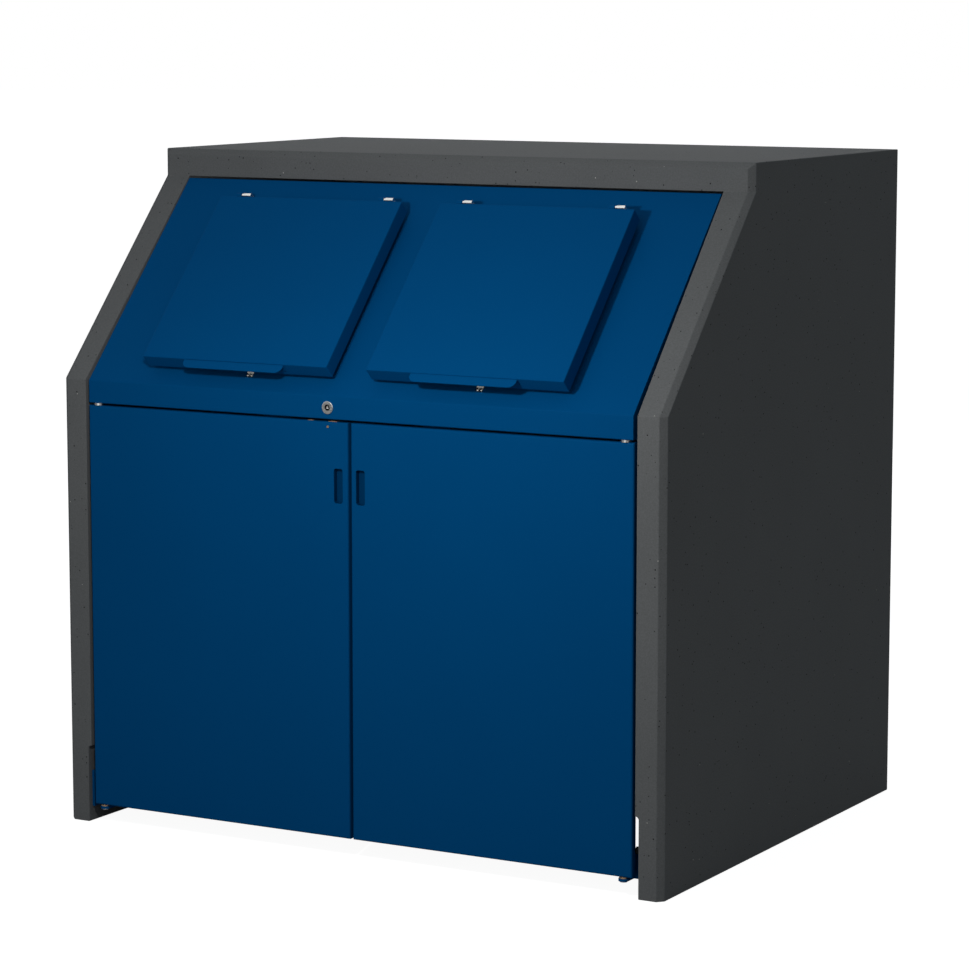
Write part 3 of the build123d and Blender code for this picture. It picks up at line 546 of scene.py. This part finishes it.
def model_core(low, high):
    """The hollow of the housing: even up to the bend, then narrower to the roof."""
    half = high.x - WALL
    core = box_piece("core", (-half, half), (low.y - WALL, high.y - WALL), (-WALL, FRONT_HEIGHT))
    choose(core, "FACE", lambda middle, normal: normal.z > ALIGNED)
    extrude((0, 0, SLOPE_RISE))
    share = (high.x - WALL_AT_ROOF) / half
    bpy.ops.transform.resize(value=(share, 1, 1))
    choose(core, "EDGE", lambda middle, along: abs(along.x) > ALIGNED
           and middle.y > 0 and middle.z > FRONT_HEIGHT + NEAR)
    bpy.ops.transform.translate(value=(0, WALL - WALL_AT_ROOF, 0))
    choose(core, "EDGE", lambda middle, along: abs(along.z) > ALIGNED and middle.y > high.y / 2)
    bpy.ops.mesh.bevel(offset=CORE_RADIUS, segments=6)
    leave_edit()
    return core


def model_notch(side, low, high):
    """Pocket at the foot of a side wall, bevelled at its top and back."""
    deep = side * (high.x - WALL + NOTCH_DEPTH)
    near = side * (high.x - WALL - NOTCH_DEPTH)
    pocket = box_piece("pocket", sorted((near, deep)),
                       (low.y - WALL, low.y + NOTCH_RUN), (-WALL, NOTCH_HEIGHT))
    choose(pocket, "EDGE", lambda middle, along: abs(middle.x - deep) < NEAR and (
        middle.z > NOTCH_HEIGHT - NEAR or middle.y > low.y + NOTCH_RUN - NEAR))
    bpy.ops.mesh.bevel(offset=NOTCH_BEVEL, segments=1)
    leave_edit()
    return pocket


# ---------------------------------------------------------------- lids
def model_lid():
    """Lid pan folded from one sheet, and its grip lip, both for a lid in the middle."""
    pan = box_piece("lid_skin", (-LID_HALF, LID_HALF),
                    (LID_START, LID_END), (LID_HEIGHT - LID_FLANGE, LID_HEIGHT))
    choose(pan, "FACE", lambda middle, normal: normal.z < -ALIGNED)
    bpy.ops.mesh.delete(type="FACE")
    choose(pan, "EDGE", lambda middle, along: middle.z > LID_HEIGHT - LID_SHEET or abs(along.z) > ALIGNED)
    bpy.ops.mesh.bevel(offset=LID_FOLD, segments=4)
    leave_edit()
    apply_modifier(pan, "sheet", "SOLIDIFY", thickness=LID_SHEET, offset=-1)
    soften(pan, SHEET_EDGE)

    top = LID_HEIGHT - LID_SHEET
    lip = box_piece("lid_lip", (-LIP_HALF, LIP_HALF),
                    (LID_START - LIP_LENGTH, LID_START), (top - LID_SHEET, top))
    choose(lip, "EDGE", lambda middle, along: abs(along.z) > ALIGNED and middle.y < LID_START - LID_SHEET)
    bpy.ops.mesh.bevel(offset=LIP_CORNER, segments=10)
    bpy.ops.mesh.select_all(action="SELECT")
    bpy.ops.mesh.bisect(plane_co=(0, LID_START - LID_SHEET, 0), plane_no=(0, 1, 0))
    choose(lip, "FACE", lambda middle, normal: normal.z < -ALIGNED and middle.y > LID_START - LID_SHEET)
    extrude((0, 0, -LIP_TAB))
    leave_edit()
    soften(lip, LIP_EDGE, 3)
    return pan, lip


def model_hinge():
    """One lift-off hinge at x = 0: moving half, fixed half, shouldered pin and its two screws."""
    axis = ("x", (0, HINGE_S, HINGE_H))
    fixed_start = KNUCKLE_MOVING + HINGE_PLAY + COLLAR_LENGTH
    fixed_end = fixed_start + KNUCKLE_FIXED
    rear = HINGE_S + KNUCKLE

    moving = box_piece("hinge_moving_half", (0, KNUCKLE_MOVING),
                       (LID_END, rear - 2 * KNUCKLE + LEAF), (LEAF_LOW, HINGE_H))
    carve(moving, rod_piece("barrel", KNUCKLE, axis, 0, KNUCKLE_MOVING), "UNION")
    carve(moving, rod_piece("bore", PIN + BORE_PLAY, axis, -PIN, KNUCKLE_MOVING + PIN))
    soften(moving, HINGE_EDGE)

    fixed = box_piece("hinge_fixed_half", (fixed_start, fixed_end), (rear - LEAF, rear), (0, HINGE_H))
    foot = box_piece("foot", (fixed_start, fixed_end), (rear - LEAF, rear - LEAF + FOOT_DEPTH), (0, LEAF))
    choose(foot, "EDGE", lambda middle, along: abs(along.z) > ALIGNED and middle.y > rear)
    bpy.ops.mesh.bevel(offset=LEAF, segments=4)
    leave_edit()
    carve(fixed, foot, "UNION")
    carve(fixed, rod_piece("barrel", KNUCKLE, axis, fixed_start, fixed_end), "UNION")
    carve(fixed, rod_piece("bore", PIN, axis, fixed_start - PIN, fixed_end + PIN))
    soften(fixed, HINGE_EDGE)

    pin = rod_piece("hinge_pin", PIN, axis, -PIN_PROUD, fixed_end)
    carve(pin, rod_piece("shoulder", PIN_COLLAR, axis, fixed_start - COLLAR_LENGTH, fixed_start), "UNION")
    soften(pin, SHEET_EDGE)

    screws = []
    for x in (fixed_start + SCREW_INSET, fixed_end - SCREW_INSET):
        place = ("z", (x, rear - LEAF + FOOT_DEPTH - SCREW_INSET, 0))
        screw = rod_piece("hinge_screw", SCREW_HEAD, place, LEAF, LEAF + SCREW_HEAD_HEIGHT, 32)
        choose(screw, "EDGE", lambda middle, along: middle.z > LEAF + SCREW_HEAD_HEIGHT - BORE_PLAY)
        bpy.ops.mesh.bevel(offset=SCREW_HEAD_HEIGHT * 0.6, segments=4)
        choose(screw, "FACE", lambda middle, normal: normal.z > SQUARE_ON)
        bpy.ops.mesh.inset(thickness=SCREW_HEAD * 0.15)
        extrude((0, 0, -SCREW_HEAD_HEIGHT * 0.4))
        leave_edit()
        screws.append(screw)
    return moving, fixed, pin, screws


def model_lids_and_hinges():
    """Both lids with their lips and their four hinges."""
    pan, lip = model_lid()
    moving, fixed, pin, screws = model_hinge()
    for side_name, side in SIDES.items():
        body = f"lid_{side_name}"
        shift = side * LID_OFFSET
        settle(twin(pan, f"lid_skin_{side_name}", shift), body, f"lid_pan_{side_name}", place=SLOPE)
        settle(twin(lip, f"lid_lip_{side_name}", shift), body, f"lid_grip_{side_name}", place=SLOPE)
        for number, start in enumerate(HINGE_STARTS, 1):
            tag = f"{side_name}_{number}"
            across = shift + start
            settle(twin(moving, f"hinge_moving_half_{tag}", across), body,
                   f"lid_hinge_leaves_{side_name}", place=SLOPE)
            settle(twin(fixed, f"hinge_fixed_half_{tag}", across), "housing",
                   f"lid_hinge_brackets_{side_name}", place=SLOPE)
            settle(twin(pin, f"hinge_pin_{tag}", across), "housing",
                   f"lid_hinge_pins_{side_name}", place=SLOPE)
            for index, screw in enumerate(screws, 1):
                settle(twin(screw, f"hinge_screw_{tag}_{index}", across), "housing",
                       "lid_hinge_screws", place=SLOPE)
    for pattern in (pan, lip, moving, fixed, pin, *screws):
        bpy.data.objects.remove(pattern)


# ---------------------------------------------------------------- lock
def model_lock():
    """Lock plate with its barrel, and the core with the triangular key stub."""
    low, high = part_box("lock_rosette")
    centre = ((low.x + high.x) / 2, 0, (low.z + high.z) / 2)
    axis = ("y", centre)
    front = low.y
    plate = rod_piece("lock_plate", ROSETTE, axis, front, front + ROSETTE_PROUD, 64)
    choose(plate, "FACE", lambda middle, normal: normal.y > ALIGNED)
    bpy.ops.mesh.inset(thickness=ROSETTE - LOCK_BARREL)
    extrude((0, high.y - front - ROSETTE_PROUD, 0))
    choose(plate, "EDGE", lambda middle, along: middle.y < front + ROSETTE_PROUD / 2
           and (middle - Vector((centre[0], front, centre[2]))).length > ROSETTE * 0.9 and abs(along.y) < 0.5)
    bpy.ops.mesh.bevel(offset=ROSETTE_ROUND, segments=4)
    leave_edit()
    carve(plate, rod_piece("mouth", KEY_BORE, axis, front - PAST, front + KEY_RECESS + PAST))
    carve(plate, rod_piece("bore", CORE + BORE_PLAY, axis, front + KEY_RECESS, high.y + PAST))
    soften(plate, SHEET_EDGE)
    settle(plate, "housing", "lock_rosette")

    core_low, core_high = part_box("lock_core")
    face_level = core_low.y + KEY_STUB_LENGTH
    core = rod_piece("lock_key_core", CORE, axis, face_level, core_high.y - CAM_SQUARE_LENGTH, 64)
    stub = rod_piece("stub", KEY_STUB, axis, core_low.y, face_level + PAST, 3)
    carve(core, stub, "UNION")
    half = CAM_SQUARE / 2
    square = box_piece("square", (centre[0] - half, centre[0] + half),
                       (core_high.y - CAM_SQUARE_LENGTH - PAST, core_high.y),
                       (centre[2] - half, centre[2] + half))
    carve(core, square, "UNION")
    soften(core, SHEET_EDGE)
    settle(core, "lock", "lock_core")
    core.data.materials.append(FINISHES["black_steel"])
    for face in core.data.polygons:
        off_axis = Vector((face.center.x - centre[0], face.center.z - centre[2])).length
        face.material_index = int(face.center.y > face_level - FACE_NEAR or off_axis > KEY_STUB)


bpy.context.scene.view_settings.view_transform = "Standard"
add_camera()
add_world()
add_floor()
add_light("key", "POINT", place=(0.295, -1.553, 1.365), power=27.3, size=0.04, colour=(1.0, 0.985, 0.97))
add_light("overhead_softbox", "AREA", place=(0, 0.8, 4.2), power=12, size=3.0, aim=(0, 0, 1))
add_light("rear_softbox", "AREA", place=(-2.6, 5.0, 1.3), power=40, size=3.0, aim=(0, 0, 0.7))
add_light("front_softbox", "AREA", place=(0.3, -6.5, 1.2), power=39, size=3.0, aim=(0, 0, 0.7))
finish_frame_parts()
model_housing()
model_lids_and_hinges()
model_lock()
